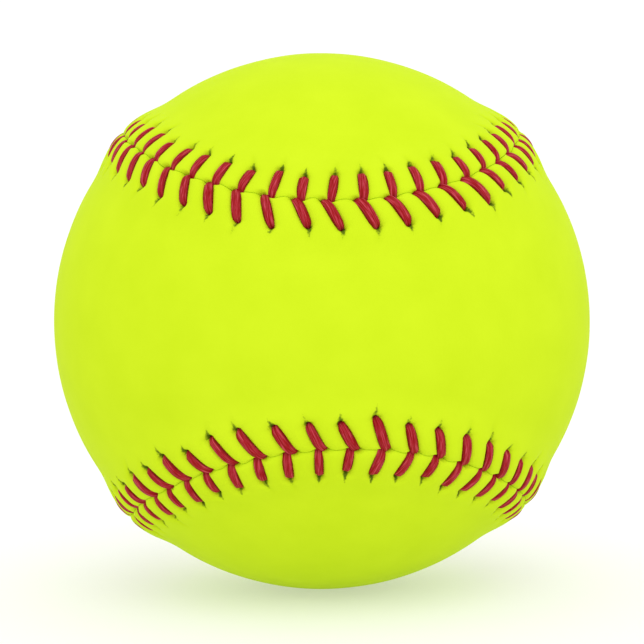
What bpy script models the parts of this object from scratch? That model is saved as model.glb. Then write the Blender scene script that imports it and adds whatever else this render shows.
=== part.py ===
# Baseball with a cushioned cork centre, wool windings and a stitched two-panel leather cover.
# Metres, +Z up, origin at the centre of the ball. -Y is the front: the waist of the front panel,
# with the seam running level above and below it.

import math

import bmesh
import bpy
import numpy as np
from mathutils import Vector
from mathutils.geometry import delaunay_2d_cdt

MM = 0.001

# Core and windings, each size taken outwards from the one before it
CORK_DIAMETER = 20.6 * MM
BLACK_RUBBER = 3.6 * MM
GASKET_WIDTH = 2.4 * MM
RED_RUBBER = 2.2 * MM
FIRST_GREY_WOOL = 14.0 * MM
WHITE_WOOL = 1.5 * MM
SECOND_GREY_WOOL = 1.7 * MM
FINISH_WINDING = 0.5 * MM
YARN_TUCK_HOLE = 3.0 * MM
FIT_GAP = 0.3 * MM

# Leather cover
LEATHER = 1.2 * MM
WAIST_WIDTH = 30.0 * MM
SEAM_GAP = 0.3 * MM

# Stitching
STITCH_COUNT = 108
THREAD_DIAMETER = 0.9 * MM
THREAD_CLEARANCE = 0.2 * MM
CROSSING_CLEARANCE = 0.5 * MM
HOLE_INSET = 3.8 * MM
FRONT_HOLE_LEAD = 1.9 * MM
BACK_HOLE_LEAD = 0.9 * MM

# Facets: steps round and down a turned piece, leather cells along a quarter circle, seam samples a stitch
CORE_STEPS = 16
CORE_ARC = 8
LEATHER_CELLS = 8
LEATHER_CELL_MARGIN = 0.6
SEAM_SAMPLES = 32
SMOOTH_ANGLE = math.radians(40)
MERGE = 0.01 * MM

# Radii that follow
CORK_RADIUS = CORK_DIAMETER / 2
BLACK_INNER = CORK_RADIUS + FIT_GAP
BLACK_OUTER = BLACK_INNER + BLACK_RUBBER
RED_INNER = BLACK_OUTER + FIT_GAP
RED_OUTER = RED_INNER + RED_RUBBER
FIRST_GREY_INNER = RED_OUTER + FIT_GAP
FIRST_GREY_OUTER = FIRST_GREY_INNER + FIRST_GREY_WOOL
WHITE_INNER = FIRST_GREY_OUTER + FIT_GAP
WHITE_OUTER = WHITE_INNER + WHITE_WOOL
SECOND_GREY_INNER = WHITE_OUTER + FIT_GAP
SECOND_GREY_OUTER = SECOND_GREY_INNER + SECOND_GREY_WOOL
FINISH_INNER = SECOND_GREY_OUTER + FIT_GAP
FINISH_OUTER = FINISH_INNER + FINISH_WINDING
LEATHER_INNER = FINISH_OUTER + FIT_GAP
BALL_RADIUS = LEATHER_INNER + LEATHER

# Stitch sizes that follow: the leather lifts over the thread that runs beneath it
THREAD_RADIUS = THREAD_DIAMETER / 2
SEAM_LIFT = THREAD_DIAMETER + 2 * THREAD_CLEARANCE - FIT_GAP
UNDER_RADIUS = FINISH_OUTER + THREAD_CLEARANCE + THREAD_RADIUS
OVER_RADIUS = BALL_RADIUS + SEAM_LIFT + THREAD_CLEARANCE + THREAD_RADIUS
HOLE_INCIRCLE = THREAD_RADIUS + THREAD_CLEARANCE
HOLE_BASE = 2 * math.sqrt(3) * HOLE_INCIRCLE
HOLE_INNER = HOLE_INSET - HOLE_INCIRCLE
HOLE_TIP = HOLE_INSET + 2 * HOLE_INCIRCLE
CROSSING_OFFSET = (THREAD_DIAMETER + CROSSING_CLEARANCE) / 2
NOTCH_MARGIN = 1.2

FRONT = 1
BACK = -1

# Settings of the triangulation that fills a panel
INSIDE_OUTLINE = 1
SAME_POINT = 1e-9


def clear_scene():
    for obj in list(bpy.data.objects):
        bpy.data.objects.remove(obj)


def new_collection(name):
    collection = bpy.data.collections.new(name)
    bpy.context.scene.collection.children.link(collection)
    return collection


def new_material(name, color, roughness, metallic=0.0):
    material = bpy.data.materials.new(name)
    material.use_nodes = True
    shader = material.node_tree.nodes["Principled BSDF"]
    shader.inputs["Base Color"].default_value = (*color, 1.0)
    shader.inputs["Roughness"].default_value = roughness
    shader.inputs["Metallic"].default_value = metallic
    material.diffuse_color = (*color, 1.0)
    return material


def add_object(name, data, material):
    obj = bpy.data.objects.new(name, data)
    obj.data.materials.append(material)
    obj.parent = ball_centre
    ball_parts.objects.link(obj)
    return obj


# Turned pieces

def arc(radius, first, last, count=CORE_ARC):
    """Points of an arc in the XZ plane, angles measured down from +Z."""
    angles = [first + (last - first) * i / count for i in range(count + 1)]
    return [(radius * math.sin(angle), radius * math.cos(angle)) for angle in angles]


def turned(name, profile, material, closed=False):
    """Revolve an XZ profile about Z. The profile runs down its outer side."""
    mesh = bpy.data.meshes.new(name)
    verts = [(max(x, 0.0), 0.0, z) for x, z in profile]
    edges = [(i, i + 1) for i in range(len(verts) - 1)]
    if closed:
        edges.append((len(verts) - 1, 0))
    mesh.from_pydata(verts, edges, [])
    obj = add_object(name, mesh, material)
    screw = obj.modifiers.new("Turn", "SCREW")
    screw.axis = "Z"
    screw.steps = CORE_STEPS
    screw.render_steps = CORE_STEPS
    screw.use_merge_vertices = True
    screw.merge_threshold = MERGE
    screw.use_smooth_shade = True
    return obj


def solid_ball(name, radius, material):
    return turned(name, arc(radius, 0, math.pi), material)


def half_cup(name, inner, outer, rim, turn, material):
    """Upper half of a hollow ball, its rim held off the middle plane, turned over for the lower half."""
    half = CORE_ARC // 2
    outside = arc(outer, 0, math.acos(rim / outer), half)
    inside = arc(inner, math.acos(rim / inner), 0, half)
    cup = turned(name, outside + inside, material)
    cup.rotation_euler.x = turn
    return cup


def gasket_ring(name, material):
    """Ring between the black cups, with the same round inside and outside as theirs."""
    half = GASKET_WIDTH / 2
    outside = arc(BLACK_OUTER, math.acos(half / BLACK_OUTER), math.acos(-half / BLACK_OUTER), 1)
    inside = arc(BLACK_INNER, math.acos(-half / BLACK_INNER), math.acos(half / BLACK_INNER), 1)
    return turned(name, outside + inside, material, closed=True)


def wound_shell(name, inner, outer, material):
    """Hollow ball of wound yarn, open at the pole where the yarn end is tucked in."""
    hole = YARN_TUCK_HOLE / 2
    inside = arc(inner, math.pi, math.asin(hole / inner))
    outside = arc(outer, math.asin(hole / outer), math.pi)
    return turned(name, inside + outside, material)


# Seam curve: a closed figure on the sphere that halves it into two equal panels

def seam_curve():
    """Sample the seam evenly: distance along it, points, and the direction into the front panel."""
    half_waist = WAIST_WIDTH / (2 * BALL_RADIUS)
    b = (1 - math.sin(half_waist)) / 2
    a = 1 - b
    c = 2 * math.sqrt(a * b)
    q = np.linspace(0, 2 * math.pi, STITCH_COUNT * SEAM_SAMPLES + 1)
    x = -a * np.sin(q) - b * np.sin(3 * q)
    y = -c * np.cos(2 * q)
    z = a * np.cos(q) - b * np.cos(3 * q)
    dx = -a * np.cos(q) - 3 * b * np.cos(3 * q)
    dy = 2 * c * np.sin(2 * q)
    dz = -a * np.sin(q) + 3 * b * np.sin(3 * q)
    points = np.stack([x, y, z], 1)
    inward = np.cross(points, np.stack([dx, dy, dz], 1))
    inward /= np.linalg.norm(inward, axis=1)[:, None]
    steps = np.linalg.norm(np.diff(points, axis=0), axis=1) * BALL_RADIUS
    return np.concatenate([[0], np.cumsum(steps)]), points, inward


def beside_seam(along, across):
    """Direction from the centre to the place so far along the seam and so far into the front panel."""
    place = along % seam_length
    point = np.array([np.interp(place, seam_along, seam_points[:, k]) for k in range(3)])
    inward = np.array([np.interp(place, seam_along, seam_inward[:, k]) for k in range(3)])
    angle = across / BALL_RADIUS
    direction = math.cos(angle) * point + math.sin(angle) * inward
    return direction / np.linalg.norm(direction)


def stitch_place(index):
    return (index + 0.5) * stitch_pitch


def hole_lead(side):
    return FRONT_HOLE_LEAD if side == FRONT else BACK_HOLE_LEAD


# Leather panels

def notch_depth():
    """How far an edge steps back from the seam where the two threads pass down side by side."""
    reach = 2 * CROSSING_OFFSET / stitch_pitch
    return (NOTCH_MARGIN * HOLE_INCIRCLE - reach * SEAM_GAP / 2) / (1 - reach)


def inner_points(side):
    """Evenly spread directions inside a panel, clear of its row of stitch holes."""
    grid = bmesh.new()
    bmesh.ops.create_cube(grid, size=2)
    bmesh.ops.subdivide_edges(grid, edges=grid.edges[:], cuts=LEATHER_CELLS - 1, use_grid_fill=True)
    spread = np.tan(np.array([vert.co for vert in grid.verts]) * math.pi / 4)
    grid.free()
    spread /= np.linalg.norm(spread, axis=1)[:, None]
    nearest = np.argmax(spread @ seam_points.T, axis=1)
    distance = np.arccos(np.clip(np.sum(spread * seam_points[nearest], axis=1), -1, 1)) * BALL_RADIUS
    inside = side * np.sum(spread * seam_inward[nearest], axis=1) > 0
    cell = math.pi / 2 / LEATHER_CELLS * BALL_RADIUS
    return spread[inside & (distance > HOLE_TIP + LEATHER_CELL_MARGIN * cell)]


def flatten(direction, side):
    """Stereographic map of a panel, seen from outside, its own waist in the middle."""
    x, y, z = direction
    return Vector((side * x, z)) / (1 - side * y)


def panel_outline(side):
    """Directions of a panel's corners, the loop of its edge, its holes and its crease lines."""
    directions = []
    edge = []
    holes = []
    for i in range(STITCH_COUNT):
        place = stitch_place(i)
        hole = place - hole_lead(side)
        first = len(directions)
        corners = [
            (place - stitch_pitch / 2, SEAM_GAP / 2),
            (place, notch_depth()),
            (hole - HOLE_BASE / 2, HOLE_INNER),
            (hole + HOLE_BASE / 2, HOLE_INNER),
            (hole, HOLE_TIP),
        ]
        directions += [beside_seam(along, side * across) for along, across in corners]
        edge += [first, first + 1]
        holes.append((first + 2, first + 3, first + 4))
    loop = edge[::side]
    creases = []
    for i in range(STITCH_COUNT):
        before = holes[i - 1]
        here = holes[i]
        creases += [(here[0], here[1]), (here[1], here[2]), (here[2], here[0])]
        creases += [(before[1], here[0]), (before[2], here[2])]
    return directions, loop, holes, creases


def cover_panel(name, side, material):
    """One figure-eight panel, raised along its stitched edge, with a hole for each stitch."""
    directions, loop, holes, creases = panel_outline(side)
    hole_tips = {hole[2] for hole in holes}
    raised = len(directions)
    directions += list(inner_points(side))
    flat = [flatten(direction, side) for direction in directions]
    filled = delaunay_2d_cdt(flat, creases, [loop], INSIDE_OUTLINE, SAME_POINT, True)
    hole_faces = {frozenset(hole) for hole in holes}
    bm = bmesh.new()
    for i, direction in enumerate(directions):
        lifted = i < raised and i not in hole_tips
        bm.verts.new(Vector(direction) * (LEATHER_INNER + (SEAM_LIFT if lifted else 0)))
    bm.verts.ensure_lookup_table()
    for face, within in zip(filled[2], filled[5]):
        if within and frozenset(face) not in hole_faces:
            bm.faces.new([bm.verts[i] for i in face])
    # Thicken outwards from the centre of the ball
    outer = bmesh.ops.extrude_face_region(bm, geom=bm.faces[:], use_keep_orig=True)["geom"]
    for vert in [item for item in outer if isinstance(item, bmesh.types.BMVert)]:
        vert.co *= (vert.co.length + LEATHER) / vert.co.length
    bmesh.ops.recalc_face_normals(bm, faces=bm.faces[:])
    mesh = bpy.data.meshes.new(name)
    bm.to_mesh(mesh)
    bm.free()
    mesh.shade_smooth()
    mesh.set_sharp_from_angle(angle=SMOOTH_ANGLE)
    return add_object(name, mesh, material)


# Stitching

def thread_route(first_side):
    """Up through a hole, over to the seam, down, and under the other panel to its next hole."""
    route = []
    for i in range(STITCH_COUNT):
        side = first_side if i % 2 == 0 else -first_side
        hole = beside_seam(stitch_place(i) - hole_lead(side), side * HOLE_INSET)
        crossing = beside_seam(stitch_place(i) + side * CROSSING_OFFSET, 0)
        route += [hole * UNDER_RADIUS, hole * OVER_RADIUS, crossing * OVER_RADIUS, crossing * UNDER_RADIUS]
    return route


def stitch_thread(name, first_side, material):
    curve = bpy.data.curves.new(name, "CURVE")
    curve.dimensions = "3D"
    curve.bevel_depth = THREAD_RADIUS
    curve.bevel_resolution = 0
    curve.use_fill_caps = True
    route = thread_route(first_side)
    spline = curve.splines.new("POLY")
    spline.points.add(len(route) - 1)
    for point, place in zip(spline.points, route):
        point.co = (*place, 1.0)
    return add_object(name, curve, material)


clear_scene()
ball_parts = new_collection("baseball")
ball_centre = bpy.data.objects.new("ball_centre", None)
ball_parts.objects.link(ball_centre)

seam_along, seam_points, seam_inward = seam_curve()
seam_length = seam_along[-1]
stitch_pitch = seam_length / STITCH_COUNT

cork = new_material("composition_cork", (0.42, 0.24, 0.12), 0.9)
black_rubber = new_material("black_rubber", (0.02, 0.02, 0.022), 0.6)
red_rubber = new_material("red_rubber", (0.42, 0.04, 0.03), 0.6)
grey_wool = new_material("grey_wool", (0.30, 0.30, 0.31), 0.95)
white_wool = new_material("white_wool", (0.82, 0.80, 0.74), 0.95)
finish_yarn = new_material("finish_yarn", (0.78, 0.77, 0.72), 0.85)
leather = new_material("yellow_leather", (0.71, 0.95, 0.035), 0.55)
red_thread = new_material("waxed_red_thread", (0.42, 0.027, 0.035), 0.5)

solid_ball("cork_core", CORK_RADIUS, cork)
black_rim = GASKET_WIDTH / 2 + FIT_GAP
half_cup("black_rubber_cup_upper", BLACK_INNER, BLACK_OUTER, black_rim, 0, black_rubber)
half_cup("black_rubber_cup_lower", BLACK_INNER, BLACK_OUTER, black_rim, math.pi, black_rubber)
gasket_ring("rubber_gasket", red_rubber)
half_cup("red_rubber_cup_upper", RED_INNER, RED_OUTER, FIT_GAP / 2, 0, red_rubber)
half_cup("red_rubber_cup_lower", RED_INNER, RED_OUTER, FIT_GAP / 2, math.pi, red_rubber)
wound_shell("first_grey_wool_winding", FIRST_GREY_INNER, FIRST_GREY_OUTER, grey_wool)
wound_shell("white_wool_winding", WHITE_INNER, WHITE_OUTER, white_wool)
wound_shell("second_grey_wool_winding", SECOND_GREY_INNER, SECOND_GREY_OUTER, grey_wool)
wound_shell("finish_winding", FINISH_INNER, FINISH_OUTER, finish_yarn)
cover_panel("cover_panel_front", FRONT, leather)
cover_panel("cover_panel_back", BACK, leather)
stitch_thread("stitch_thread_first", FRONT, red_thread)
stitch_thread("stitch_thread_second", BACK, red_thread)
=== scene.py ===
import math
import random

import bmesh
import bpy
import numpy as np
from mathutils import Matrix, Vector, noise


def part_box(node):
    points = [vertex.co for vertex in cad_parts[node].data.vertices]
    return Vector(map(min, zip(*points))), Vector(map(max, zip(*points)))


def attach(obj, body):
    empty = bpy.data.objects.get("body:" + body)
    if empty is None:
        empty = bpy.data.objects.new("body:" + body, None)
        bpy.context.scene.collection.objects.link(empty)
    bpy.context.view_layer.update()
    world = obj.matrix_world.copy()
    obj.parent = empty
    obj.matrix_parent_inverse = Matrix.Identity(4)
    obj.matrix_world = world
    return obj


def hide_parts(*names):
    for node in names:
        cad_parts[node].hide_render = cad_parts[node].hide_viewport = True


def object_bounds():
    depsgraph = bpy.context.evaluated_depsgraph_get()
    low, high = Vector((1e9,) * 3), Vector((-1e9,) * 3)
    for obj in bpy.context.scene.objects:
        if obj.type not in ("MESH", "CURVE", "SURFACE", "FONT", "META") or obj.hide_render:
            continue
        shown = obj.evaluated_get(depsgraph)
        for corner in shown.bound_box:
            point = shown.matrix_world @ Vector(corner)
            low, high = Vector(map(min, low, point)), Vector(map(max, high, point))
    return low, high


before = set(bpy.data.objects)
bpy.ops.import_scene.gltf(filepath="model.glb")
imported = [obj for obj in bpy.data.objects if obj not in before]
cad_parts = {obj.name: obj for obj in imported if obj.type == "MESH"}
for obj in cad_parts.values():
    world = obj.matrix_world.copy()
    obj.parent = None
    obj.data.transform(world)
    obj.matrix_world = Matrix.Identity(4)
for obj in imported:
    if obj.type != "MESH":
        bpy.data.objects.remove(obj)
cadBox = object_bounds()
mm = 0.001
weldGap = 0.001 * mm            # points closer than this become one
tiny = 1e-6                     # guards a division by zero and the very end of a leg
front, back = 1, -1             # the two panels, by their side of the seam
chance = random.Random(11)      # hand-sewn spread, the same on every run


# Seam: the closed curve that halves the ball into two equal panels, sizes in mm

seam = {
    "radius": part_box("cover_panel_front")[1][0] / mm,       # round of the ball
    "waist": 30.0,          # narrowest width of a panel
    "stitches": 108,
    "samples": 60,          # points of the curve to a stitch
}


def seamTable():
    # a circle that carries a wave of three turns and swings in and out, so that it stays on the ball
    wave = (1 - math.sin(seam["waist"] / 2 / seam["radius"])) / 2
    circle = 1 - wave
    swing = 2 * math.sqrt(circle * wave)
    turn = np.linspace(0, math.tau, seam["stitches"] * seam["samples"] + 1)
    points = np.stack([-circle * np.sin(turn) - wave * np.sin(3 * turn),
                       -swing * np.cos(2 * turn),
                       circle * np.cos(turn) - wave * np.cos(3 * turn)], 1)
    slope = np.stack([-circle * np.cos(turn) - 3 * wave * np.cos(3 * turn),
                      2 * swing * np.sin(2 * turn),
                      -circle * np.sin(turn) + 3 * wave * np.sin(3 * turn)], 1)
    inward = np.cross(points, slope)
    inward /= np.linalg.norm(inward, axis=1)[:, None]
    steps = np.linalg.norm(np.diff(points, axis=0), axis=1) * seam["radius"]
    return np.concatenate([[0], np.cumsum(steps)]), points, inward


seamAlong, seamPoints, seamInward = seamTable()
seamLength = seamAlong[-1]
pitch = seamLength / seam["stitches"]


def besideSeam(along, across):
    # directions from the middle of the ball; across is positive into the front panel
    place = np.mod(along, seamLength)
    point = np.stack([np.interp(place, seamAlong, seamPoints[:, k]) for k in range(3)], -1)
    inward = np.stack([np.interp(place, seamAlong, seamInward[:, k]) for k in range(3)], -1)
    angle = (np.asarray(across) / seam["radius"])[..., None]
    direction = np.cos(angle) * point + np.sin(angle) * inward
    return direction / np.linalg.norm(direction, axis=-1)[..., None]


print("seam", round(seamLength, 1), "mm, stitch pitch", round(pitch, 3), "mm")


# Stitches: each leg runs from its hole to the seam, front legs slanted and lying over the back ones

stitch = {
    # ends of a leg: along the seam from the stitch's place, and across its own panel
    "hole": {front: (-2.05, 3.45), back: (-1.4, 3.35)},
    "tip": {front: (-0.45, -0.2), back: (-1.0, 0.0)},
    "wander": 0.12,                 # hand-sewn spread of both ends along the seam
    "reachWander": 0.24,            # of the holes across it
    "reachLimit": 1.6,              # and how many times that spread a hole may stray
    "tipWander": 0.04,              # of the tips across it
    "width": (0.88, 1.1),           # thinnest and thickest leg, part of the thread's size
    "hook": 0.33,                   # curl of a front leg's end along the seam
    "hookStart": 0.55,              # where on the leg it begins
    # marks beyond a hole
    "slit": {front: (1.2, 2.0), back: (0.8, 1.5)},      # shortest and longest cut
    "slitShift": {front: -0.12, back: -0.05},           # its start beside the hole, where the leg comes out
    "gape": (0.5, 1.0),             # from a frayed crack to a cut that is pulled wide open
    "wrinkle": (1.2, 2.9),          # shortest and longest pull in the leather
    "tilt": (-0.25, 0.25),          # lean of cut and pull to either side
    "bend": (-0.12, 0.12),          # and their curve
    "drift": 0.07,                  # wander of the seam line itself, root mean square
    "driftWaves": 9,
    "driftTurns": (20, 150),        # fewest and most turns of such a wave round the seam
}


def drawnBetween(limits):
    return np.array([chance.uniform(*limits) for _ in range(seam["stitches"])])


def stitchLegs(owner):
    hole, tip = stitch["hole"][owner], stitch["tip"][owner]
    places = (np.arange(seam["stitches"]) + 0.5) * pitch        # middle of each stitch's share of the seam
    spread = np.array([[chance.gauss(0, 1) for _ in range(4)] for _ in places])
    holeSpread = np.clip(spread[:, 1], -stitch["reachLimit"], stitch["reachLimit"])
    return {
        "holeAlong": places + hole[0] + stitch["wander"] * spread[:, 0],
        "holeAcross": hole[1] + stitch["reachWander"] * holeSpread,
        "tipAlong": places + tip[0] + stitch["wander"] * spread[:, 2],
        "tipAcross": tip[1] + stitch["tipWander"] * spread[:, 3],
        "slit": drawnBetween(stitch["slit"][owner]),
        "wrinkle": drawnBetween(stitch["wrinkle"]),
        "tilt": drawnBetween(stitch["tilt"]),
        "bend": drawnBetween(stitch["bend"]),
        "width": drawnBetween(stitch["width"]),
    }


driftWaves = [(chance.randint(*stitch["driftTurns"]), chance.uniform(0, math.tau))
              for _ in range(stitch["driftWaves"])]


def seamDrift(along):
    waves = [np.sin(math.tau * turns * along / seamLength + start) for turns, start in driftWaves]
    return stitch["drift"] * sum(waves) / math.sqrt(len(waves) / 2)


def pastStart(t, start):
    # how far t, 0 at a leg's hole and 1 at its tip, has come from start to the tip
    return np.maximum(t - start, 0) / (1 - start)


def legBend(owner, t):
    # sideways curl of a leg
    if owner == back:
        return 0 * t
    return stitch["hook"] * pastStart(t, stitch["hookStart"]) ** 2


legs = {front: stitchLegs(front), back: stitchLegs(back)}
for leg in legs.values():
    leg["gape"] = drawnBetween(stitch["gape"])
print("stitch legs", len(legs) * seam["stitches"])


# Meshes

def only(kind, items):
    return [item for item in items if isinstance(item, kind)]


def rolledTube(bm, rings, sides, layVertex):
    # a flat grid, one column to a ring, rolled up into a tube and closed
    bmesh.ops.create_grid(bm, x_segments=rings - 1, y_segments=sides, size=1)
    for v in bm.verts:
        i = round((v.co.x + 1) / 2 * (rings - 1))
        angle = round((v.co.y + 1) / 2 * sides) % sides / sides * math.tau
        layVertex(v, i, angle)
    bmesh.ops.remove_doubles(bm, verts=bm.verts[:], dist=weldGap)
    bmesh.ops.holes_fill(bm, edges=[e for e in bm.edges if e.is_boundary], sides=0)
    bmesh.ops.recalc_face_normals(bm, faces=bm.faces[:])


def finishedPiece(name, bm):
    openEdges = sum(not e.is_manifold for e in bm.edges)
    mesh = bpy.data.meshes.new(name)
    bm.to_mesh(mesh)
    bm.free()
    mesh.shade_smooth()
    obj = bpy.data.objects.new(name, mesh)
    bpy.context.scene.collection.objects.link(obj)
    print(name, sum(len(p.vertices) - 2 for p in mesh.polygons), "triangles, open edges", openEdges)
    return obj


# Leather: the surface near the seam, heights in mm above the round of the ball

cover = {
    "thickness": 1.2,
    "lift": 1.05,           # crest of the raised edge
    "crest": 1.2,           # its distance from the seam
    "fall": 6.6,            # how far past the crest it has sunk back to the round
    "dip": 0.3,             # loss of height towards the seam
    "dipSteep": 3,          # and how late it comes
    "roll": 0.08,           # rounding of the cut edge
    "driftReach": 1.2,      # how far from the seam its wander dies away
    "wave": 0.035,          # slow unevenness of the hide
    "waveSize": 6.0,
    # bed of a stitch leg
    "valley": 0.58,         # press of the leg into the leather
    "valleyWidth": 0.56,
    "pillow": 0.3,          # wider sag that leaves a pillow between two legs
    "pillowWidth": 1.25,
    "sunkHole": 0.25,       # how much deeper a leg is pulled in at its hole
    "sunkHoleSteep": 2.5,
    "sunkTip": {front: 0.4, back: 0.45},        # and where it dips into the seam
    "sunkTipSteep": 4,
    "valleyShare": 0.6,     # part of that which the valley takes, with the rest for the pillow
    "fullWidth": (0.3, 0.6),        # stretch of the leg where its bed is widest
    "narrowed": 0.85,       # part of that width left at the hole
    "squeezed": 0.7,        # and at the seam
    "cutOff": 1.4,          # how much faster the bed ends beyond the leg
    "tipCutOff": 1.8,       # and faster still beyond its tip
    "foldShade": 0.2,            # painted shade beside a leg, where 1 is the painted shade of a full wrinkle
    "foldShadeWidth": 1.6,
    # marks at and beyond a hole
    "pit": 0.2,             # stitch hole
    "pitWidth": 0.34,
    "slit": 0.14,           # pulled-open cut that runs out from a hole to a point
    "slitWidth": 0.42,
    "slitStart": 0.12,      # where it begins, short of the hole
    "slitOpen": 0.4,        # length that stays fully open
    "wrinkle": 0.26,        # shallow pull beyond it
    "wrinkleWidth": 0.42,
    # faces
    "columns": 20,          # along one stitch
    "rows": [0.02, 0.05, 0.09, 0.14, 0.2, 0.28, 0.38, 0.5, 0.64, 0.8, 1.0, 1.25, 1.5, 1.75, 2.0, 2.25,
             2.5, 2.75, 3.0, 3.2, 3.4, 3.6, 3.8, 4.0, 4.2, 4.4, 4.6, 4.8, 5.05, 5.35, 5.75, 6.3, 7.0, 7.9],
    "joined": 5,            # columns that become one past the raised edge
    "cuts": 72,             # across the smooth middle
    "insideJoined": 10,
    "insideRows": [1.5, 3.5, 5.5, 7.9],
    "insideCuts": 24,
}
columns = seam["stitches"] * cover["columns"]
columnStep = seamLength / columns
raisedEdge, smoothMiddle, roughEdge, roughMiddle = range(4)     # zones of a panel, skin and then inside
noSlit = -1.0


def hump(distance, width):
    return np.exp(-(distance / width) ** 2)


def ridge(across):
    past = np.clip((across - cover["crest"]) / cover["fall"], 0, 1)
    before = np.maximum(cover["crest"] - across, 0) / cover["crest"]
    return cover["lift"] * (1 + np.cos(math.pi * past)) / 2 - cover["dip"] * before ** cover["dipSteep"]


def legSink(owner, t):
    hole = cover["sunkHole"] * (1 - t) ** cover["sunkHoleSteep"]
    return hole + cover["sunkTip"][owner] * t ** cover["sunkTipSteep"]


def legBed(owner, dAlong, dAcross, legAlong, legAcross):
    # how far one leg presses the skin down, and how much painted shade lies beside it
    reach = np.hypot(legAlong, legAcross)
    t = (dAlong * legAlong + dAcross * legAcross) / reach ** 2
    on = np.clip(t, 0, 1)
    aside = np.hypot(dAlong - on * legAlong - legBend(owner, on), dAcross - on * legAcross)
    beyond = np.maximum(np.maximum(-t, cover["tipCutOff"] * (t - 1)), 0) * reach
    aside = np.hypot(aside, cover["cutOff"] * beyond)
    aside /= np.interp(on, [0, *cover["fullWidth"], 1], [cover["narrowed"], 1, 1, cover["squeezed"]])
    sink = legSink(owner, on)
    valley = cover["valley"] + cover["valleyShare"] * sink
    pillow = cover["pillow"] + (1 - cover["valleyShare"]) * sink
    press = valley * hump(aside, cover["valleyWidth"]) + pillow * hump(aside, cover["pillowWidth"])
    return press, cover["foldShade"] * hump(aside, cover["foldShadeWidth"])


def holeMarks(owner, i, dAlong, dAcross):
    # the pit of a stitch hole, the slit beyond it (0 at its edge) and the wrinkle that runs on
    leg = legs[owner]
    pit = hump(np.hypot(dAlong, dAcross), cover["pitWidth"])
    aside = dAlong - stitch["slitShift"][owner]
    aside -= leg["tilt"][i] * dAcross + leg["bend"][i] * dAcross ** 2
    run = np.maximum(dAcross - cover["slitOpen"], 0)
    slit = leg["gape"][i] * (1 - run / leg["slit"][i] - np.abs(aside) / cover["slitWidth"])
    slit = np.where(dAcross > -cover["slitStart"], slit, noSlit)
    run = np.clip(1 - dAcross / leg["wrinkle"][i], 0, 1) * (dAcross > 0)
    return pit, slit, run * hump(aside, cover["wrinkleWidth"])


def outerSkin(along, across, side):
    # height of the skin, how deep in a slit each point lies (0.5 is its edge), and how much painted shade
    # it gets beside the legs and in the wrinkles
    slit = np.full(along.shape, noSlit)
    press, foldShade, pit, wrinkle = np.zeros((4, len(along)))
    cell = np.floor(along / pitch).astype(int)
    for shift in (-1, 0, 1):        # a point feels its own stitch and its two neighbours
        number = cell + shift
        i = number % seam["stitches"]
        lap = (number // seam["stitches"]) * seamLength
        for owner in (front, back):
            leg = legs[owner]
            sign = owner * side
            holeAlong, holeAcross = leg["holeAlong"][i] + lap, sign * leg["holeAcross"][i]
            legAlong = leg["tipAlong"][i] + lap - holeAlong
            legAcross = sign * leg["tipAcross"][i] - holeAcross
            dAlong, dAcross = along - holeAlong, across - holeAcross
            legPress, legShade = legBed(owner, dAlong, dAcross, legAlong, legAcross)
            press = np.maximum(press, legPress)
            foldShade = np.maximum(foldShade, legShade)
            if owner == side:
                marks = holeMarks(owner, i, dAlong, dAcross)
                pit, slit, wrinkle = (np.maximum(old, new) for old, new in zip((pit, slit, wrinkle), marks))
    roll = np.maximum(cover["roll"] - across, 0)
    roll = cover["roll"] - np.sqrt(np.maximum(cover["roll"] ** 2 - roll ** 2, 0))
    height = ridge(across) - roll
    height -= press + cover["pit"] * pit + cover["slit"] * np.clip(slit, 0, 1) + cover["wrinkle"] * wrinkle
    return height, np.clip(0.5 + slit / 2, 0, 1), np.maximum(foldShade, wrinkle)


def hideWave(directions):
    places = directions * (seam["radius"] / cover["waveSize"])
    return cover["wave"] * np.array([noise.noise(Vector(place)) for place in places])


def extrudeLoop(bm, edges):
    made = bmesh.ops.extrude_edge_only(bm, edges=edges)["geom"]
    verts = only(bmesh.types.BMVert, made)
    fresh = set(verts)
    return verts, [e for e in only(bmesh.types.BMEdge, made) if fresh.issuperset(e.verts)]


def spanMiddle(bm, byColumn, acrossOf, side, cuts):
    # join the two long sides of a panel's edge across its middle, then close the two lobe ends
    ends = (columns // 4, 3 * columns // 4) if side == front else (0, columns // 2)
    first = {v for column, v in byColumn.items() if ends[0] < column < ends[1]}
    rest = set(byColumn.values()) - first - {byColumn[ends[0]], byColumn[ends[1]]}
    chains = [e for e in bm.edges
              if e.is_boundary and (first.issuperset(e.verts) or rest.issuperset(e.verts))]
    made = bmesh.ops.bridge_loops(bm, edges=chains)
    rungs = [e for e in made["edges"] if len(first.intersection(e.verts)) == 1]
    rim = [e for e in bm.edges if e.is_boundary and min(v[acrossOf] for v in e.verts) > cover["crest"]]
    bmesh.ops.holes_fill(bm, edges=rim, sides=0)
    split = bmesh.ops.subdivide_edges(bm, edges=rungs, cuts=cuts, use_grid_fill=True)["geom_inner"]
    return only(bmesh.types.BMVert, split)


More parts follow.
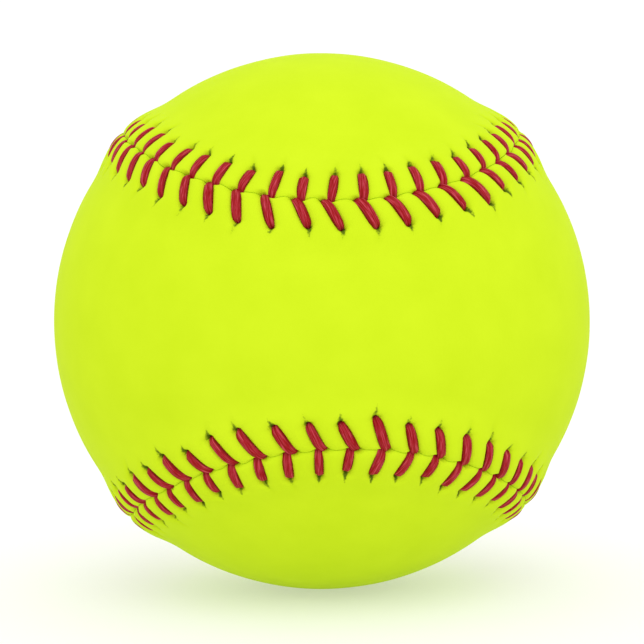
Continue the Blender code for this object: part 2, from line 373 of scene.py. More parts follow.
def panelFaces(name, side):
    # rows of faces along the cut edge, joined across the middle, first the skin and then the inside
    bm = bmesh.new()
    alongOf = bm.verts.layers.float.new("along")
    acrossOf = bm.verts.layers.float.new("across")
    zoneOf = bm.verts.layers.int.new("zone")
    for v in bmesh.ops.create_circle(bm, segments=columns, radius=1)["verts"]:
        v[alongOf] = math.atan2(v.co.y, v.co.x) % math.tau / math.tau * seamLength
        v[acrossOf] = cover["rows"][0]
    edge = bm.edges[:]

    def layRows(loop, rows, zone):
        for across in rows:
            verts, loop = extrudeLoop(bm, loop)
            for v in verts:
                v[acrossOf] = across
                v[zoneOf] = zone
        return {round(v[alongOf] / columnStep) % columns: v for v in verts}

    def joinColumns(byColumn, every):
        targets = {}
        for column, v in byColumn.items():
            nearest = (column + every // 2) // every * every % columns
            if nearest != column:
                targets[v] = byColumn[nearest]
        kept = {column: v for column, v in byColumn.items() if v not in targets}
        bmesh.ops.weld_verts(bm, targetmap=targets)
        return kept

    def closeMiddle(byColumn, across, cuts, zone):
        for column, v in byColumn.items():
            v.co = Vector(besideSeam(np.array(column * columnStep), np.array(side * across)))
        for v in spanMiddle(bm, byColumn, acrossOf, side, cuts):
            v[zoneOf] = zone

    byColumn = joinColumns(layRows(edge, cover["rows"][1:], raisedEdge), cover["joined"])
    closeMiddle(byColumn, cover["rows"][-1], cover["cuts"], smoothMiddle)
    byColumn = joinColumns(layRows(edge, cover["rows"][:1], roughEdge), cover["insideJoined"])
    kept = set(byColumn.values())
    loop = [e for e in bm.edges if e.is_boundary and kept.issuperset(e.verts)]
    byColumn = layRows(loop, cover["insideRows"], roughEdge)
    closeMiddle(byColumn, cover["insideRows"][-1], cover["insideCuts"], roughMiddle)
    mesh = bpy.data.meshes.new(name)
    bm.to_mesh(mesh)
    bm.free()
    return mesh


def takenOff(mesh, name, kind):
    values = np.empty(len(mesh.vertices), kind)
    mesh.attributes[name].data.foreach_get("value", values)
    mesh.attributes.remove(mesh.attributes[name])
    return values


def evenMiddle(chords, axis):
    # each rung of the middle is a chord of the ball, mirrored in one plane: spread its points along the arc
    level = np.delete(chords, axis, 1)
    reach = np.linalg.norm(level, axis=1)
    rise = np.sqrt(np.maximum(1 - reach ** 2, tiny ** 2))
    angle = np.arcsin(rise) * np.clip(chords[:, axis] / rise, -1, 1)
    level *= (np.cos(angle) / reach)[:, None]
    return np.insert(level, axis, np.sin(angle), 1)


def coverPanel(name, side):
    mesh = panelFaces(name, side)
    along = takenOff(mesh, "along", float)
    across = takenOff(mesh, "across", float)
    zone = takenOff(mesh, "zone", int)
    count = len(mesh.vertices)
    places = np.empty(count * 3)
    mesh.vertices.foreach_get("co", places)
    strip = (zone == raisedEdge) | (zone == roughEdge)
    direction = np.empty((count, 3))
    drift = seamDrift(along[strip]) * np.exp(-across[strip] / cover["driftReach"])
    direction[strip] = besideSeam(along[strip], side * across[strip] + drift)
    direction[~strip] = evenMiddle(places.reshape(-1, 3)[~strip], 2 if side == front else 0)
    height, slit, foldShade = np.zeros((3, count))
    skin = zone == raisedEdge
    height[skin], slit[skin], foldShade[skin] = outerSkin(along[skin], across[skin], side)
    height[zone == roughEdge] = ridge(across[zone == roughEdge])
    height[zone >= roughEdge] -= cover["thickness"]
    height += hideWave(direction)
    places = direction * (seam["radius"] + height)[:, None] * mm
    mesh.vertices.foreach_set("co", places.ravel())
    mesh.attributes.new("slit", "FLOAT", "POINT").data.foreach_set("value", slit)
    mesh.attributes.new("foldShade", "FLOAT", "POINT").data.foreach_set("value", foldShade)
    panel = bmesh.new()
    panel.from_mesh(mesh)
    bpy.data.meshes.remove(mesh)
    bmesh.ops.recalc_face_normals(panel, faces=panel.faces[:])
    return finishedPiece(name, panel)


# Thread: several waxed strands laid side by side, flattened where they press on the leather, sizes in mm

thread = {
    "width": 1.47,
    "thick": 1.08,
    "size": {front: 1.0, back: 0.92},           # back legs are drawn tighter
    "holeTaper": {front: 0.14, back: 0.02},     # narrowing of a leg towards its hole
    "tipTaper": {front: 0.12, back: 0.0},       # and towards its tip
    "taperSteep": 2.5,
    "lie": 0.43,            # middle of the thread above the bottom of its valley
    "holeDive": 1.3,        # how far a leg goes down into its hole
    "holeDiveRun": 0.13,    # over this first part of its length
    "holeDiveSteep": 1.7,
    "tipDive": {front: 1.1, back: 0.2},         # and how far at the seam
    "tipDiveStart": {front: 0.87, back: 0.75},
    "tipDiveSteep": {front: 2, back: 1},
    "under": -0.9,          # height of the run beneath the leather
    "underSize": 0.9,
    "lastRun": 0.7,         # part of the last run that is there, so that the two ends don't meet
    "overSteps": [0, 0.02, 0.05, 0.09, 0.14, 0.21, 0.3, 0.4, 0.5, 0.6, 0.7, 0.79, 0.86, 0.91, 0.95,
                  0.98, 1],
    "underSteps": [0.2, 0.5, 0.8],
    "sides": 24,
    "strands": 6,
    "furrow": 0.07,         # depth of the furrow between strands, part of the radius
    "twist": 0.5,           # turn of the strands in one leg, radians
    "tipShadeFade": 0.3,         # how much less painted shade the flank gets at the tips
    "tipShadeFadeStart": 0.7,
}


def threadRings(firstSide):
    # middle, outward direction and size of every ring, and the turn of the strands there
    rings = []
    count = seam["stitches"]
    for i in range(count):
        side = firstSide if i % 2 == 0 else -firstSide
        leg, after = legs[side], legs[-side]
        hole = np.array([leg["holeAlong"][i], side * leg["holeAcross"][i]])
        tip = np.array([leg["tipAlong"][i], side * leg["tipAcross"][i]])
        j = (i + 1) % count
        lap = seamLength if j == 0 else 0
        nextHole = np.array([after["holeAlong"][j] + lap, -side * after["holeAcross"][j]])
        for t in thread["overSteps"]:
            along, across = hole + (tip - hole) * t
            along += legBend(side, t)
            height = ridge(max(side * across, 0)) - cover["valley"] - cover["pillow"]
            height += thread["lie"] - legSink(side, t)
            height -= thread["holeDive"] * max(1 - t / thread["holeDiveRun"], 0) ** thread["holeDiveSteep"]
            dive = pastStart(t, thread["tipDiveStart"][side])
            height -= thread["tipDive"][side] * dive ** thread["tipDiveSteep"][side]
            taper = thread["holeTaper" if t < 0.5 else "tipTaper"][side]
            size = leg["width"][i] * (1 - taper * abs(2 * t - 1) ** thread["taperSteep"])
            size *= thread["size"][side]
            rings.append((along, across, max(height, thread["under"]), size, i + t))
        if j == 0:
            nextHole = tip + thread["lastRun"] * (nextHole - tip)
        for t in thread["underSteps"]:
            along, across = tip + (nextHole - tip) * t
            rings.append((along, across, thread["under"], thread["underSize"], i + 1))
    along, across, height, sizes, turns = np.array(rings).T
    directions = besideSeam(along, across)
    return directions * (seam["radius"] + height)[:, None] * mm, directions, sizes, turns


def stitchThread(name, firstSide):
    middles, directions, sizes, turns = threadRings(firstSide)
    ahead = np.gradient(middles, axis=0)
    ahead /= np.linalg.norm(ahead, axis=1)[:, None]
    run = np.concatenate([[0], np.cumsum(np.linalg.norm(np.diff(middles, axis=0), axis=1))]) / mm
    perLeg = len(thread["overSteps"])
    perStitch = perLeg + len(thread["underSteps"])
    flankShadeKept = 1 - thread["tipShadeFade"] * pastStart(np.mod(turns - tiny, 1), thread["tipShadeFadeStart"])
    places = []
    wide = None
    for i in range(len(middles)):
        start = i - i % perStitch
        legEnd = start + perLeg - 1
        if i <= legEnd:
            lead = middles[legEnd] - middles[start]
        else:
            lead = middles[min(start + perStitch, len(middles) - 1)] - middles[legEnd]
        aim = np.cross(directions[i], lead)
        aim -= ahead[i] * np.dot(aim, ahead[i])
        aim /= np.linalg.norm(aim)
        if wide is not None and np.dot(aim, wide) < 0:
            aim = -aim
        wide = aim
        ring = Matrix.Identity(4)
        ring.col[0][:3] = wide * (thread["width"] / 2 * mm * sizes[i])
        ring.col[1][:3] = np.cross(ahead[i], wide) * (thread["thick"] / 2 * mm * sizes[i])
        ring.col[2][:3] = ahead[i] * mm
        ring.col[3][:3] = middles[i]
        places.append(ring @ Matrix.Rotation(thread["twist"] * turns[i], 4, "Z"))

    bm = bmesh.new()
    fibreOf = bm.verts.layers.float_vector.new("fibre")
    flankOf = bm.verts.layers.float.new("flank")
    furrowOf = bm.verts.layers.float.new("furrow")

    def layVertex(v, i, angle):
        v[furrowOf] = (1 - math.cos(thread["strands"] * angle)) / 2
        reach = 1 - 2 * thread["furrow"] * v[furrowOf]
        v[fibreOf] = (math.cos(angle), math.sin(angle), run[i])
        # painted shade on the flanks, less at the tips
        v[flankOf] = abs(math.cos(angle + thread["twist"] * turns[i])) * flankShadeKept[i]
        v.co = places[i] @ Vector((reach * math.cos(angle), reach * math.sin(angle), 0))

    rolledTube(bm, len(places), thread["sides"], layVertex)
    print(name, round(run[-1]), "mm of thread")
    return finishedPiece(name, bm)


# Core: a pressed cork ball in two moulded rubber cups with a gasket between, then two thinner cups

core = {
    "gap": 0.3,             # to the layer beneath, mm
    "round": 96,            # faces round a cup
    "over": 48,             # faces from pole to pole
    "lip": 0.3,             # rounding of a moulded rim, mm
    "lipFaces": 4,
    "sharp": 0.8,           # edges that turn more than this, in radians, are rims
    "corkDetail": 6,        # halvings of an icosahedron's faces
    "pit": 0.2,             # torn pores in the cork, mm deep
    "pitSize": 1.2,
    "shells": [
        # piece, node, node with the same outside, node beneath
        ("black_cup_upper_moulding", "black_rubber_cup_upper", "black_rubber_cup_upper", "cork_core"),
        ("black_cup_lower_moulding", "black_rubber_cup_lower", "black_rubber_cup_upper", "cork_core"),
        ("gasket_ring_moulding", "rubber_gasket", "black_rubber_cup_upper", "cork_core"),
        ("red_cup_upper_moulding", "red_rubber_cup_upper", "red_rubber_cup_upper",
         "black_rubber_cup_upper"),
        ("red_cup_lower_moulding", "red_rubber_cup_lower", "red_rubber_cup_upper",
         "black_rubber_cup_upper"),
    ],
}


def corkBall(name, node):
    bm = bmesh.new()
    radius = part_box(node)[1][2]
    bmesh.ops.create_icosphere(bm, subdivisions=core["corkDetail"], radius=radius)
    for v in bm.verts:
        pore = max(noise.noise(v.co / (core["pitSize"] * mm)), 0)
        v.co *= 1 - core["pit"] * mm * pore / radius
    return finishedPiece(name, bm)


def rubberShell(name, node, outside, beneath):
    # a hollow ball cut level where its CAD solid ends, with rounded rims
    inner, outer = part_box(beneath)[1][2] + core["gap"] * mm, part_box(outside)[1][2]
    bm = bmesh.new()
    bmesh.ops.create_uvsphere(bm, u_segments=core["round"], v_segments=core["over"], radius=inner)
    bmesh.ops.reverse_faces(bm, faces=bm.faces[:])
    bmesh.ops.create_uvsphere(bm, u_segments=core["round"], v_segments=core["over"], radius=outer)
    for corner, facing in zip(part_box(node), (1, -1)):
        if abs(corner[2]) < inner:
            cut = bmesh.ops.bisect_plane(bm, geom=bm.verts[:] + bm.edges[:] + bm.faces[:],
                                         plane_co=(0, 0, corner[2]), plane_no=(0, 0, facing),
                                         clear_inner=True)["geom_cut"]
            bmesh.ops.bridge_loops(bm, edges=only(bmesh.types.BMEdge, cut))
    rims = [e for e in bm.edges if e.calc_face_angle() > core["sharp"]]
    bmesh.ops.bevel(bm, geom=rims, offset=core["lip"] * mm, offset_type="OFFSET", affect="EDGES",
                    segments=core["lipFaces"], profile=0.5, material=-1)
    return finishedPiece(name, bm)


# Windings: wool and cotton yarn, each one unbroken length on great circles that walk round the ball

winding = {
    "steps": 44,            # points in one turn
    "sides": 6,
    "walk": 0.07,           # part of a turn that the circle's axis goes round in each turn
    "depth": 1.3,           # how far the first turns lie below the last, in yarn thicknesses
    "packedDetail": 5,      # halvings of an icosahedron's faces
    "layers": [
        # piece, node, node beneath, width and thickness in mm (coarser than the real 1 mm), turns
        ("grey_wool_yarn_first", "first_grey_wool_winding", "red_rubber_cup_upper", 2.8, 1.3, 80),
        ("white_wool_yarn", "white_wool_winding", "first_grey_wool_winding", 2.2, 0.55, 100),
        ("grey_wool_yarn_second", "second_grey_wool_winding", "white_wool_winding", 1.9, 0.6, 120),
        ("finish_cotton_yarn", "finish_winding", "second_grey_wool_winding", 1.3, 0.18, 150),
    ],
}


def woundYarn(name, inner, outer, width, thick, turns):
    turn = np.arange(turns * winding["steps"] + 1) / winding["steps"]
    lean = np.arccos(1 - turn / turns)
    way = math.tau * winding["walk"] * turn
    across = np.stack([np.cos(lean) * np.cos(way), np.cos(lean) * np.sin(way), -np.sin(lean)], 1)
    level = np.stack([-np.sin(way), np.cos(way), 0 * way], 1)
    spin = (math.tau * turn)[:, None]
    outward = np.cos(spin) * across + np.sin(spin) * level
    middles = outward * (outer - thick / 2 - winding["depth"] * thick * (1 - turn / turns))[:, None]
    ahead = np.gradient(middles, axis=0)
    wide = np.cross(outward, ahead)
    wide /= np.linalg.norm(wide, axis=1)[:, None]
    run = np.concatenate([[0], np.cumsum(np.linalg.norm(np.diff(middles, axis=0), axis=1))])
    bm = bmesh.new()
    fibreOf = bm.verts.layers.float_vector.new("fibre")

    def layVertex(v, i, angle):
        v[fibreOf] = (math.cos(angle), math.sin(angle), run[i])
        section = width / 2 * math.cos(angle) * wide[i] + thick / 2 * math.sin(angle) * outward[i]
        v.co = Vector((middles[i] + section) * mm)

    rolledTube(bm, len(middles), winding["sides"], layVertex)
    # packed wool up to the middle of the first turns, hollow for the layer beneath
    packed = outer - thick / 2 - winding["depth"] * thick
    detail = winding["packedDetail"]
    bmesh.ops.create_icosphere(bm, subdivisions=detail, radius=packed * mm)
    hollow = bmesh.ops.create_icosphere(bm, subdivisions=detail, radius=inner * mm)["verts"]
    bmesh.ops.reverse_faces(bm, faces=list({f for v in hollow for f in v.link_faces}))
    print(name, round(run[-1] * mm, 1), "m of yarn drawn")
    return finishedPiece(name, bm)


# Materials

mixBy, mixFrom, mixTo, mixOut = 0, 6, 7, 2      # sockets of a colour mix


def linear(code):
    values = [int(code[i:i + 2], 16) / 255 for i in (1, 3, 5)]
    return [v / 12.92 if v <= 0.04045 else ((v + 0.055) / 1.055) ** 2.4 for v in values] + [1.0]


def newMaterial(name):
    material = bpy.data.materials.new(name)
    material.use_nodes = True
    print("material", name)
    return material, material.node_tree, material.node_tree.nodes["Principled BSDF"]


def addNode(tree, kind, settings=None, links=None):
    node = tree.nodes.new(kind)
    for key, value in (settings or {}).items():
        if isinstance(key, str) and hasattr(node, key):
            setattr(node, key, value)
        else:
            node.inputs[key].default_value = value
    for key, source in (links or {}).items():
        tree.links.new(source, node.inputs[key])
    return node


def finishSurface(tree, shader, look, colour, relief):
    # what every finish ends with: its colour, its fine relief and its gloss
    bump = addNode(tree, "ShaderNodeBump",
                   {"Strength": look["reliefStrength"], "Distance": look["relief"] * mm},
                   {"Height": relief})
    tree.links.new(colour, shader.inputs["Base Color"])
    tree.links.new(bump.outputs["Normal"], shader.inputs["Normal"])
    shader.inputs["Roughness"].default_value = look["roughness"]
    shader.inputs["Specular IOR Level"].default_value = look["specular"]


leatherLook = {
    "dye": "#CBE523",
    "dyeDeep": "#C0DC1A",
    # painted shade beside the stitch legs and in the wrinkles
    "foldShadeDye": "#A6C20C",
    "slitShade": "#5E7414",
    "mottle": 6.0,          # mm across a patch of deeper dye
    "mottleDetail": 3.0,
    "foldShadeStrength": 0.45,      # most of the painted fold shade that shows
    "fray": 0.35,           # mm, ragged edge of a slit
    "fraySpread": 0.5,      # how much of the slit's shade the fray decides
    "slitEdge": (0.78, 1.0),        # where that shade begins and where it is full
    "grain": 0.55,          # mm between pores; the real 0.2 mm would not show
    "relief": 0.05,         # mm, depth of a pore
    "reliefStrength": 0.12,
    "roughness": 0.6,
    "specular": 0.02,
}


def dyedLeather():
    # full-grain cowhide, spray-dyed: an even matt skin with faint pores, with painted shade beside the
    # stitch legs, in the wrinkles and in the slits
    look = leatherLook
    material, tree, shader = newMaterial("spray_dyed_full_grain_leather")
    place = addNode(tree, "ShaderNodeTexCoord").outputs["Object"]
    mottle = addNode(tree, "ShaderNodeTexNoise",
                     {"Scale": 1 / (look["mottle"] * mm), "Detail": look["mottleDetail"]},
                     {"Vector": place})
    dye = addNode(tree, "ShaderNodeMix",
                  {"data_type": "RGBA", mixFrom: linear(look["dye"]), mixTo: linear(look["dyeDeep"])},
                  {mixBy: mottle.outputs["Fac"]})
    # painted shade: darker beside the stitch legs and along the wrinkles
    foldShade = addNode(tree, "ShaderNodeAttribute", {"attribute_name": "foldShade"})
    drawn = addNode(tree, "ShaderNodeMapRange", {"To Max": look["foldShadeStrength"]},
                    {"Value": foldShade.outputs["Fac"]})
    foldShaded = addNode(tree, "ShaderNodeMix", {"data_type": "RGBA", mixTo: linear(look["foldShadeDye"])},
                     {mixBy: drawn.outputs["Result"], mixFrom: dye.outputs[mixOut]})
    # painted shade inside the slits, with a ragged edge
    slit = addNode(tree, "ShaderNodeAttribute", {"attribute_name": "slit"})
    fray = addNode(tree, "ShaderNodeTexNoise", {"Scale": 1 / (look["fray"] * mm)}, {"Vector": place})
    ragged = addNode(tree, "ShaderNodeMath", {"operation": "MULTIPLY_ADD", 1: look["fraySpread"]},
                     {0: fray.outputs["Fac"], 2: slit.outputs["Fac"]})
    begins, full = look["slitEdge"]
    inside = addNode(tree, "ShaderNodeMapRange", {"From Min": begins, "From Max": full},
                     {"Value": ragged.outputs["Value"]})
    slitShaded = addNode(tree, "ShaderNodeMix", {"data_type": "RGBA", mixTo: linear(look["slitShade"])},
                      {mixBy: inside.outputs["Result"], mixFrom: foldShaded.outputs[mixOut]})
    pores = addNode(tree, "ShaderNodeTexVoronoi", {"Scale": 1 / (look["grain"] * mm)}, {"Vector": place})
    finishSurface(tree, shader, look, slitShaded.outputs[mixOut], pores.outputs["Distance"])
    return material


threadLook = {
    "dye": "#A21C26",
    # lighter fibre, also a painted highlight
    "lighterFibreAndHighlight": "#C24A58",
    "deep": "#8A080A",
    "edge": "#74120C",      # painted shade on the flank where the thread beds into the leather
    "streaks": 6.4,         # in half the thread's width, about 0.11 mm each
    "streakLength": 1.25,   # mm
    "streakDetail": 4.0,
    "shades": (("deep", 0.36), ("dye", 0.48), ("lighterFibreAndHighlight", 0.64)),     # where each shade lies in the streaks
    "furrowStart": 0.3,     # where the deep shade between two strands begins
    "furrowShade": 0.75,    # and most of it that shows
    "flank": (0.68, 0.92),  # where the edge shade begins and where it is full
    "relief": 0.06,         # mm, fuzz of the fibres
    "reliefStrength": 0.3,
    "roughness": 0.5,
    "specular": 0.07,
}


def waxedThread():
    # red cotton drawn through wax: soft sheen; lengthwise streaks of lighter and darker fibre, the lightest
    # partly a painted highlight; painted shade between strands and on the flanks
    look = threadLook
    material, tree, shader = newMaterial("waxed_cotton_thread")
    fibre = addNode(tree, "ShaderNodeAttribute", {"attribute_name": "fibre"})
    stretch = addNode(tree, "ShaderNodeMapping",
                      {"Scale": (look["streaks"], look["streaks"], 1 / look["streakLength"])},
                      {"Vector": fibre.outputs["Vector"]})
    streak = addNode(tree, "ShaderNodeTexNoise", {"Scale": 1.0, "Detail": look["streakDetail"]},
                     {"Vector": stretch.outputs["Vector"]})
    # streaks of fibre tone, the lightest shade also a painted highlight
    ramp = addNode(tree, "ShaderNodeValToRGB", {}, {"Fac": streak.outputs["Fac"]})
    stops = ramp.color_ramp.elements
    for shade, spot in look["shades"]:
        stops.new(spot).color = linear(look[shade])
    for spare in (stops[-1], stops[0]):
        stops.remove(spare)
    # painted shade in the furrows between strands
    furrow = addNode(tree, "ShaderNodeAttribute", {"attribute_name": "furrow"})
    between = addNode(tree, "ShaderNodeMapRange",
                      {"From Min": look["furrowStart"], "To Max": look["furrowShade"]},
                      {"Value": furrow.outputs["Fac"]})
    plies = addNode(tree, "ShaderNodeMix", {"data_type": "RGBA", mixTo: linear(look["deep"])},
                    {mixBy: between.outputs["Result"], mixFrom: ramp.outputs["Color"]})
    # painted shade on the thread's flanks
    flank = addNode(tree, "ShaderNodeAttribute", {"attribute_name": "flank"})
    begins, full = look["flank"]
    low = addNode(tree, "ShaderNodeMapRange", {"From Min": begins, "From Max": full},
                  {"Value": flank.outputs["Fac"]})
    flankShaded = addNode(tree, "ShaderNodeMix", {"data_type": "RGBA", mixTo: linear(look["edge"])},
                    {mixBy: low.outputs["Result"], mixFrom: plies.outputs[mixOut]})
    finishSurface(tree, shader, look, flankShaded.outputs[mixOut], streak.outputs["Fac"])
    return material


yarnLook = {
    # fibres, shade between plies, lighter fibres
    "grey": ("#8F8C88", "#6A6865", "#B4B1AC"),
    "white": ("#DEDACF", "#B9B4A6", "#F2EFE6"),
    "cotton": ("#E6E0D0", "#C4BCA8", "#F6F2E6"),
    "ply": 3.0,             # mm of yarn to one unit of the wave, which sets the plies 1.9 mm apart
    "plySlant": 0.5,        # how far the plies lean round the yarn
    "plyWander": 1.5,
    "plyShade": 0.7,        # most of the shade between them that shows
    "fibre": 0.3,           # mm across a tuft; real fibres of 0.03 mm would not show
    "fibreDetail": 4.0,
    "relief": 0.2,          # mm, fuzz of the tufts
    "reliefStrength": 0.5,
    "roughness": 0.95,
    "specular": 0.2,
}


def spunYarn(name, dyes):
    # spun, plied yarn: dull and fuzzy, with slanting plies and mixed light and dark fibres
    look = yarnLook
    fibreDye, shade, lightDye = (linear(code) for code in dyes)
    material, tree, shader = newMaterial(name)
    place = addNode(tree, "ShaderNodeTexCoord").outputs["Object"]
    fibre = addNode(tree, "ShaderNodeAttribute", {"attribute_name": "fibre"})
    slant = addNode(tree, "ShaderNodeMapping",
                    {"Scale": (look["plySlant"], look["plySlant"], 1 / look["ply"])},
                    {"Vector": fibre.outputs["Vector"]})
    plies = addNode(tree, "ShaderNodeTexWave",
                    {"Scale": 1.0, "Distortion": look["plyWander"], "bands_direction": "DIAGONAL"},
                    {"Vector": slant.outputs["Vector"]})
    tufts = addNode(tree, "ShaderNodeTexNoise",
                    {"Scale": 1 / (look["fibre"] * mm), "Detail": look["fibreDetail"]}, {"Vector": place})
    mixed = addNode(tree, "ShaderNodeMix", {"data_type": "RGBA", mixFrom: fibreDye, mixTo: lightDye},
                    {mixBy: tufts.outputs["Fac"]})
    between = addNode(tree, "ShaderNodeMapRange", {"To Max": look["plyShade"]},
                      {"Value": plies.outputs["Fac"]})
    dye = addNode(tree, "ShaderNodeMix", {"data_type": "RGBA", mixTo: shade},
                  {mixBy: between.outputs["Result"], mixFrom: mixed.outputs[mixOut]})
    finishSurface(tree, shader, look, dye.outputs[mixOut], tufts.outputs["Fac"])
    return material


rubberLook = {
    "black": ("#1B1A19", "#262524"),        # clean rubber, and under its bloom
    "red": ("#8C2A1F", "#9C3527"),
    "bloom": 3.0,           # mm across a dull patch
    "bloomDetail": 3.0,
    "grit": 0.4,            # mm, spark-eroded mould grain drawn coarse enough to show
    "relief": 0.05,         # mm, its depth
    "reliefStrength": 0.2,
    "roughness": 0.5,
    "bloomRoughness": 0.68,
    "specular": 0.5,
}


def mouldedRubber(name, dyes):
    # moulded natural rubber: dull satin skin with faint bloom and the mould's fine grain
    look = rubberLook
    clean, dulled = (linear(code) for code in dyes)
    material, tree, shader = newMaterial(name)
    place = addNode(tree, "ShaderNodeTexCoord").outputs["Object"]
    bloom = addNode(tree, "ShaderNodeTexNoise",
                    {"Scale": 1 / (look["bloom"] * mm), "Detail": look["bloomDetail"]}, {"Vector": place})
    dye = addNode(tree, "ShaderNodeMix", {"data_type": "RGBA", mixFrom: clean, mixTo: dulled},
                  {mixBy: bloom.outputs["Fac"]})
    dull = addNode(tree, "ShaderNodeMapRange",
                   {"To Min": look["roughness"], "To Max": look["bloomRoughness"]},
                   {"Value": bloom.outputs["Fac"]})
    grit = addNode(tree, "ShaderNodeTexNoise", {"Scale": 1 / (look["grit"] * mm)}, {"Vector": place})
    finishSurface(tree, shader, look, dye.outputs[mixOut], grit.outputs["Fac"])
    tree.links.new(dull.outputs["Result"], shader.inputs["Roughness"])
    return material


corkLook = {
    "granules": (("#6E4A2A", 0.15), ("#A67645", 0.5), ("#C89A66", 0.85)),   # shades, and where each lies
    "binder": "#2E2019",
    "granule": 1.6,         # mm across a granule
    "joint": 0.08,          # width of the binder round it, part of a granule
    "relief": 0.15,         # mm, depth of the joints
    "reliefStrength": 0.4,
    "roughness": 0.85,
    "specular": 0.5,
}


def compositionCork():
    # ground cork bound with rubber and pressed: tan granules, each its own shade, in thin dark joints
    look = corkLook
    material, tree, shader = newMaterial("pressed_composition_cork")
    place = addNode(tree, "ShaderNodeTexCoord").outputs["Object"]
    scale = 1 / (look["granule"] * mm)
    granule = addNode(tree, "ShaderNodeTexVoronoi", {"Scale": scale}, {"Vector": place})
    ramp = addNode(tree, "ShaderNodeValToRGB", {}, {"Fac": granule.outputs["Color"]})
    stops = ramp.color_ramp.elements
    for code, spot in look["granules"]:
        stops.new(spot).color = linear(code)
    for spare in (stops[-1], stops[0]):
        stops.remove(spare)
    joint = addNode(tree, "ShaderNodeTexVoronoi", {"feature": "DISTANCE_TO_EDGE", "Scale": scale},
                    {"Vector": place})
    bound = addNode(tree, "ShaderNodeMapRange", {"From Max": look["joint"], "To Min": 1.0, "To Max": 0.0},
                    {"Value": joint.outputs["Distance"]})
    mixed = addNode(tree, "ShaderNodeMix", {"data_type": "RGBA", mixTo: linear(look["binder"])},
                    {mixBy: bound.outputs["Result"], mixFrom: ramp.outputs["Color"]})
    finishSurface(tree, shader, look, mixed.outputs[mixOut], joint.outputs["Distance"])
    return material


# Pieces, from the middle of the ball out

cork = corkBall("cork_ball_pressed", "cork_core")
cork.data.materials.append(compositionCork())
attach(cork, "root")
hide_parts("cork_core")
rubbers = {
    "black_rubber": mouldedRubber("moulded_black_rubber", rubberLook["black"]),
    "red_rubber": mouldedRubber("moulded_red_rubber", rubberLook["red"]),
}
for name, node, outside, beneath in core["shells"]:
    shell = rubberShell(name, node, outside, beneath)
    kind = "black_rubber" if node.startswith("black") else "red_rubber"
    shell.data.materials.append(rubbers[kind])
    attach(shell, "root")
    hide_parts(node)

greyWool = spunYarn("spun_grey_wool", yarnLook["grey"])
yarns = {
    "first_grey_wool_winding": (greyWool, "grey_wool"),
    "white_wool_winding": (spunYarn("spun_white_wool", yarnLook["white"]), "white_wool"),
    "second_grey_wool_winding": (greyWool, "grey_wool"),
    "finish_winding": (spunYarn("spun_poly_cotton", yarnLook["cotton"]), "finish_yarn"),
}
for name, node, beneath, width, thick, turns in winding["layers"]:
    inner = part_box(beneath)[1][2] / mm + core["gap"]
    yarn = woundYarn(name, inner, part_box(node)[1][2] / mm, width, thick, turns)
    yarn.data.materials.append(yarns[node][0])
    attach(yarn, "root")
    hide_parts(node)

leather = dyedLeather()
redThread = waxedThread()
for name, side in (("cover_leather_front", front), ("cover_leather_back", back)):
    panel = coverPanel(name, side)
    panel.data.materials.append(leather)
    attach(panel, "root")
    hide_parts("cover_panel_front" if side == front else "cover_panel_back")
for name, side in (("stitching_first", front), ("stitching_second", back)):
    line = stitchThread(name, side)
    line.data.materials.append(redThread)
    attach(line, "root")
    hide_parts("stitch_thread_first" if side == front else "stitch_thread_second")


# Studio: white floor, white surround, one wide soft light above the camera, sizes in m

studio = {
    "white": "#FFFFFF",
    "floor": 1.6,               # radius
    "floorFaces": 96,
    "floorShade": "#CDCDCB",
    "floorRoughness": 0.9,
    "floorGlow": 0.36,          # light of its own that keeps it as pale as the surround
    "surround": 1.07,
    "lightPlace": (0.05, -0.55, 0.5),
    "lightSize": 0.55,
    "lightPower": 1.3,          # watts
    "azimuth": -3.79,           # of the camera, in degrees
    "elevation": 0.82,
    "lean": 0.98,
    "distance": 6 * seam["radius"] * mm,
    "lens": 88.63,              # mm
    "shift": (0.0003, -0.0014),
    "clip": (0.01, 20),
}


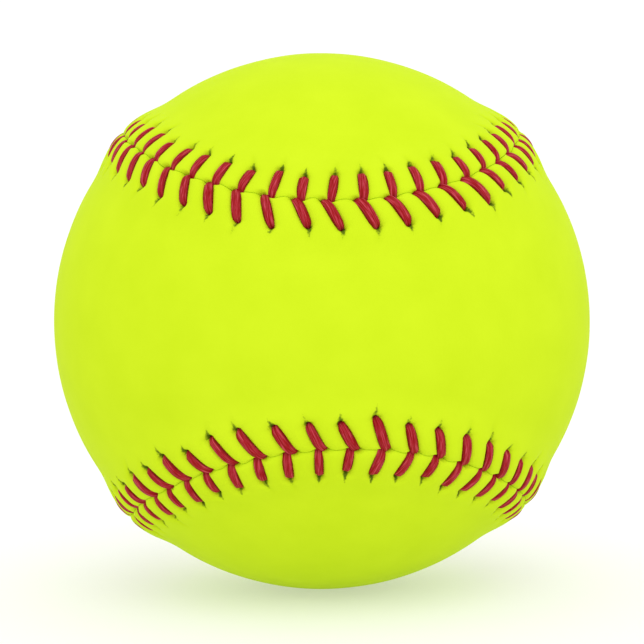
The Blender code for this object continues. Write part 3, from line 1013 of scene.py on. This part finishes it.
def studioFloor():
    bm = bmesh.new()
    bmesh.ops.create_circle(bm, cap_ends=True, segments=studio["floorFaces"], radius=studio["floor"])
    bmesh.ops.translate(bm, verts=bm.verts[:], vec=(0, 0, cadBox[0][2]))
    mesh = bpy.data.meshes.new("studio_floor")
    bm.to_mesh(mesh)
    bm.free()
    floor = bpy.data.objects.new("studio_floor", mesh)
    bpy.context.scene.collection.objects.link(floor)
    # matt white paper: an even pale ground that only the ball's soft shadow marks
    material, tree, shader = newMaterial("white_paper_sweep")
    shader.inputs["Base Color"].default_value = linear(studio["floorShade"])
    shader.inputs["Roughness"].default_value = studio["floorRoughness"]
    shader.inputs["Emission Color"].default_value = linear(studio["white"])
    shader.inputs["Emission Strength"].default_value = studio["floorGlow"]
    mesh.materials.append(material)


def studioLight():
    world = bpy.data.worlds.new("white_surround")
    bpy.context.scene.world = world
    world.use_nodes = True
    surround = world.node_tree.nodes["Background"]
    surround.inputs["Strength"].default_value = studio["surround"]
    surround.inputs["Color"].default_value = linear(studio["white"])
    lamp = bpy.data.lights.new("key_softbox", "AREA")
    lamp.energy, lamp.size = studio["lightPower"], studio["lightSize"]
    softbox = bpy.data.objects.new("key_softbox", lamp)
    softbox.location = studio["lightPlace"]
    softbox.rotation_euler = (-Vector(studio["lightPlace"])).to_track_quat("-Z", "Y").to_euler()
    bpy.context.scene.collection.objects.link(softbox)


def studioCamera():
    lens = bpy.data.cameras.new("camera")
    lens.lens = studio["lens"]
    lens.clip_start, lens.clip_end = studio["clip"]
    lens.shift_x, lens.shift_y = studio["shift"]
    camera = bpy.data.objects.new("camera", lens)
    azimuth, elevation, lean = (math.radians(studio[key]) for key in ("azimuth", "elevation", "lean"))
    away = Vector((math.sin(azimuth) * math.cos(elevation), -math.cos(azimuth) * math.cos(elevation),
                   math.sin(elevation)))
    level = Vector((0, 0, 1)).cross(away).normalized()
    camera.location = away * studio["distance"]
    upright = Matrix((level, away.cross(level), away)).transposed()
    camera.rotation_euler = (upright @ Matrix.Rotation(-lean, 3, "Z")).to_euler()
    bpy.context.scene.collection.objects.link(camera)
    bpy.context.scene.camera = camera


studioFloor()
studioLight()
studioCamera()
bpy.context.scene.view_settings.view_transform = "Standard"
print("studio set")
